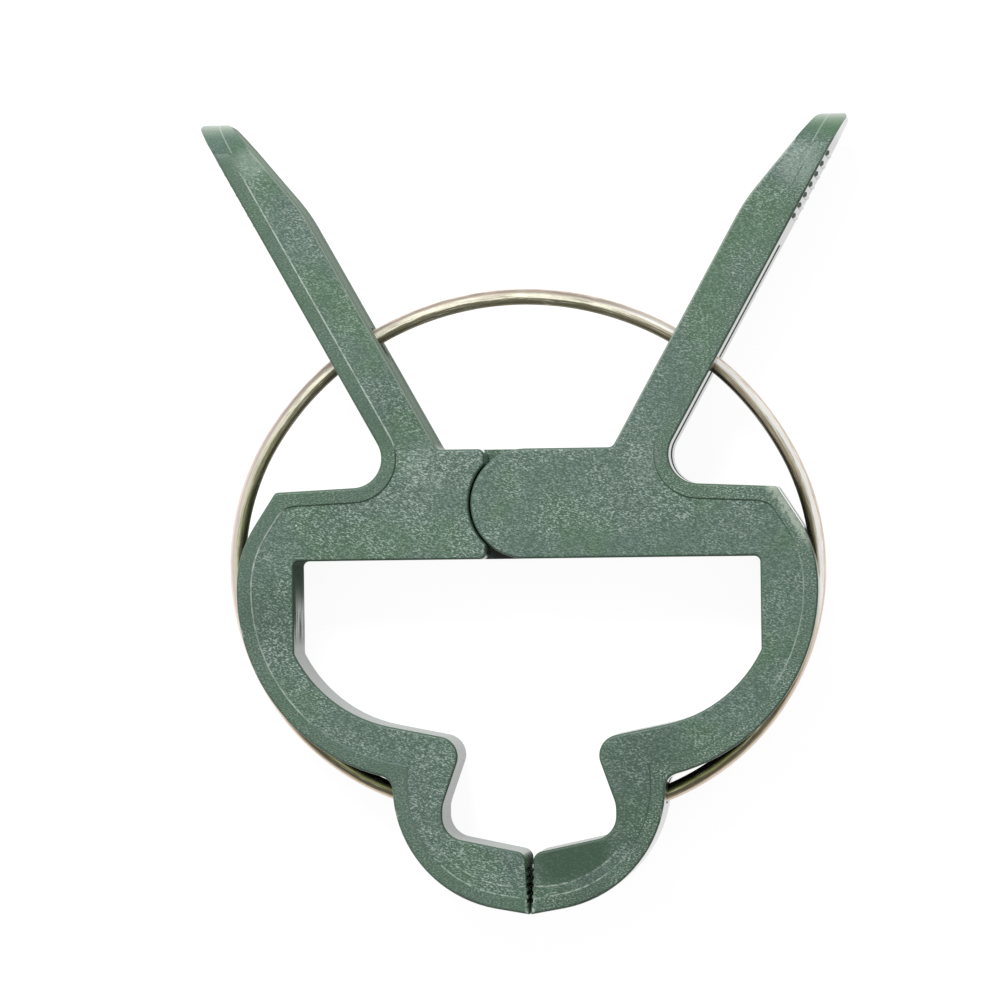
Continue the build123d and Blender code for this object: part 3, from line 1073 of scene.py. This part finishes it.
@dataclass
class SpringRing:
    """Open ring of round wire: a wide arc over the top, a tighter one down each side, all a little askew.

    Lengths are in millimetres and angles in degrees.
    """

    finish: WireFinish
    wire: float = 1.1
    top_y: float = -6.28
    top_radius: float = 20.45
    turn: float = 30.0
    side_radius: float = 16.49
    end: float = 75.7
    sit_x: float = -0.3
    sit_angle: float = -2.86
    sit_end: float = 3.7
    facets: int = 24
    step: float = 2.0
    end_chamfer: float = 0.12
    chamfer_rows: int = 2
    smooth_angle: float = 35.0
    weld: float = 0.0001
    bend_reach: float = 14.0

    def own_side_centre(self, side: Side) -> Vector:
        """Centre of a side arc in the ring's own plan, in millimetres from the hinge."""
        inset, turn = self.top_radius - self.side_radius, math.radians(self.turn)
        return Vector((side.value * inset * math.cos(turn), self.top_y + inset * math.sin(turn)))

    def seated(self, own: Vector) -> Vector:
        """Moves a point of the ring's own plan to where the ring sits.

        Args:
            own: The point in the ring's own plan.

        Returns:
            The point in the row frame, in millimetres.
        """
        turned = own - Vector((0.0, self.top_y))
        turned.rotate(turn_by(self.sit_angle))
        return Vector((turned.x + self.sit_x, turned.y + self.top_y + HINGE_Y, MID_Z))

    def build(self) -> bpy.types.Object:
        """Spins the wire's round section along its three arcs and chamfers its ends.

        Returns:
            The ring's object.
        """
        clear_selection()
        right_end, left_end = self.end - self.sit_end, self.end + self.sit_end
        centres = [self.seated(self.own_side_centre(side)) for side in Side]
        start = math.radians(self.sit_angle - right_end)
        place = centres[0] + self.side_radius * Vector((math.cos(start), math.sin(start), 0.0))
        bpy.ops.mesh.primitive_circle_add(
            vertices=self.facets,
            radius=self.wire / 2 * MM,
            location=place * MM,
            rotation=(math.pi / 2, 0.0, start),
        )
        ring = bpy.context.object
        ring.name = "spring_ring_wire"
        bpy.ops.object.transform_apply(location=True, rotation=True, scale=True)
        bpy.ops.object.mode_set(mode="EDIT")
        bpy.ops.mesh.select_all(action="SELECT")
        runs = (
            (centres[0], right_end + self.turn),
            (self.seated(Vector((0.0, self.top_y))), HALF_TURN - 2 * self.turn),
            (centres[1], left_end + self.turn),
        )
        for middle, sweep in runs:
            bpy.ops.mesh.spin(
                steps=round(sweep / self.step),
                angle=-math.radians(sweep),
                center=middle * MM,
                axis=(0.0, 0.0, 1.0),
            )
        self.close_ends()
        bpy.ops.object.mode_set(mode="OBJECT")
        bpy.ops.object.shade_smooth_by_angle(angle=math.radians(self.smooth_angle))
        self.measure(ring)
        return ring

    def close_ends(self) -> None:
        """Caps both ends of the tube, chamfers their rims and turns the faces outwards."""
        bpy.ops.mesh.select_all(action="SELECT")
        bpy.ops.mesh.remove_doubles(threshold=self.weld * MM)
        bpy.ops.mesh.select_all(action="DESELECT")
        bpy.ops.mesh.select_mode(type="EDGE")
        bpy.ops.mesh.select_non_manifold()
        bpy.ops.mesh.edge_face_add()
        bpy.ops.mesh.bevel(offset=self.end_chamfer * MM, segments=self.chamfer_rows, affect="EDGES")
        bpy.ops.mesh.select_all(action="SELECT")
        bpy.ops.mesh.normals_make_consistent(inside=False)

    def out_and_along(self, spot: Vector) -> tuple[float, float]:
        """Finds how a point lies to the wire's middle line.

        Args:
            spot: The point in the ring's own plan, from the top arc's centre.

        Returns:
            How far out of the line it lies, and how far along it to the left from the top.
        """
        angle = math.degrees(math.atan2(spot.y, spot.x))
        if self.turn <= angle <= HALF_TURN - self.turn:
            return spot.length - self.top_radius, math.radians(angle - QUARTER_TURN) * self.top_radius
        side = Side.RIGHT if spot.x > 0 else Side.LEFT
        off = spot + Vector((0.0, self.top_y)) - self.own_side_centre(side)
        swung = math.atan2(off.y, side.value * off.x)
        half_top = math.radians(QUARTER_TURN - self.turn) * self.top_radius
        run = half_top + (math.radians(self.turn) - swung) * self.side_radius
        return off.length - self.side_radius, -side.value * run

    def measure(self, ring: bpy.types.Object) -> None:
        """Keeps on each vertex how far out, over and along the wire it lies.

        Args:
            ring: The finished ring.
        """
        values = {kind: [] for kind in Measure}
        for vertex in ring.data.vertices:
            seat = vertex.co / MM
            spot = Vector((seat.x - self.sit_x, seat.y - HINGE_Y - self.top_y))
            spot.rotate(turn_by(-self.sit_angle))
            out, run = self.out_and_along(spot)
            values[Measure.ACROSS].append(out / (self.wire / 2))
            values[Measure.OVER].append((seat.z - MID_Z) / (self.wire / 2))
            values[Measure.ALONG].append(run)
        for kind, numbers in values.items():
            kept = ring.data.attributes.new(kind.value, "FLOAT", "POINT")
            kept.data.foreach_set("value", numbers)

    def dress(self, ring: bpy.types.Object) -> None:
        """Gives the ring its finish, hides the CAD ring and bakes the ring's place into its mesh.

        Args:
            ring: The finished ring.
        """
        ring.data.materials.append(self.finish.material())
        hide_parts("spring_ring")
        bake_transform(ring)
        log.info("%s built with %d faces", ring.name, len(ring.data.polygons))


@dataclass
class Studio:
    """Pale floor, even daylight all round and one soft lamp above the handles."""

    floor_finish: FloorFinish
    floor_size: float = 6.0
    floor_drop: float = 0.02
    daylight: float = 0.45
    lamp_power: float = 1.1
    lamp_size: float = 0.16
    lamp_place: Point = (-0.09, 0.26, 0.24)

    def build(self) -> None:
        """Lays the floor and sets the light."""
        clear_selection()
        bpy.ops.mesh.primitive_plane_add(size=self.floor_size, location=(0.0, 0.0, -self.floor_drop * MM))
        floor = bpy.context.object
        floor.name = "studio_floor"
        floor.data.materials.append(self.floor_finish.material())
        self.light_world()
        self.hang_lamp()
        log.info("%s and lights set", floor.name)

    def light_world(self) -> None:
        """Makes the world an even daylight that cameras and gloss see as white."""
        world = bpy.data.worlds.new("daylight")
        bpy.context.scene.world = world
        world.use_nodes = True
        bench = NodeBench(world.node_tree)
        sky = bench.add("Background")
        bench.feed(sky.inputs["Strength"], bench.blend(bench.seen_by(*Ray), self.daylight, 1.0))
        bench.feed(bench.add("OutputWorld").inputs["Surface"], sky.outputs[0])

    def hang_lamp(self) -> None:
        """Hangs one soft square lamp, aimed at the clip."""
        data = bpy.data.lights.new("soft_lamp", "AREA")
        data.energy = self.lamp_power
        data.size = self.lamp_size
        lamp = bpy.data.objects.new("soft_lamp", data)
        lamp.location = self.lamp_place
        lamp.rotation_euler = (-Vector(self.lamp_place)).to_track_quat("-Z", "Y").to_euler()
        bpy.context.scene.collection.objects.link(lamp)


@dataclass
class Viewpoint:
    """Camera above the clip, at the photograph's angle."""

    place: Point = (38.5751, -2.7525, 411.1707)
    tilt: Point = (0.00936, 0.09905, -0.01269)
    lens: float = 215.8239
    sensor: float = 36.0
    clip_start: float = 0.01

    def build(self) -> None:
        """Makes the camera and hands it to the scene."""
        data = bpy.data.cameras.new("viewpoint")
        data.lens = self.lens
        data.sensor_width = self.sensor
        data.clip_start = self.clip_start
        camera = bpy.data.objects.new("viewpoint", data)
        camera.rotation_mode = "ZXY"
        camera.rotation_euler = self.tilt
        camera.location = Vector(self.place) * MM
        bpy.context.scene.collection.objects.link(camera)
        bpy.context.scene.camera = camera


def main() -> None:
    """Builds and dresses each part of the scene in order."""
    logging.basicConfig(level=logging.INFO, format="%(name)s: %(message)s")
    bpy.context.scene.view_settings.view_transform = "Standard"
    Viewpoint().build()
    Studio(FloorFinish()).build()
    Jaws(MouldedFinish()).dress()
    ring = SpringRing(WireFinish())
    ring.dress(ring.build())


if __name__ == "__main__":
    main()
